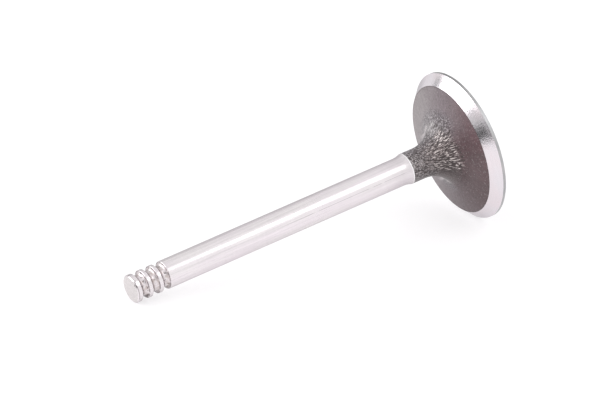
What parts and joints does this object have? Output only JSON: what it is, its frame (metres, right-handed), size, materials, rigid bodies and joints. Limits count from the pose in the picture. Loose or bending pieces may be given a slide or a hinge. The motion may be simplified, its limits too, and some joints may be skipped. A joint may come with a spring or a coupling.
{
  "type": "engine poppet valve",
  "caption": "Poppet valve: flat round head with a conical sealing seat, dark forged neck, slim ground stem and round keeper grooves below a chamfered tip.",
  "frame": {"origin": "centre of the flat combustion face, on which the valve stands", "axes": "+Z along the stem, from the combustion face to the tip"},
  "size_m": [0.0372, 0.0372, 0.0942],
  "materials": {
    "valve_steel": "ground bright on the stem, seat, margin, grooves and face; dark as-forged oxide on the back of the head and the neck"
  },
  "bodies": {
    "root": {"valve": "valve_steel"}
  },
  "joints": []
}
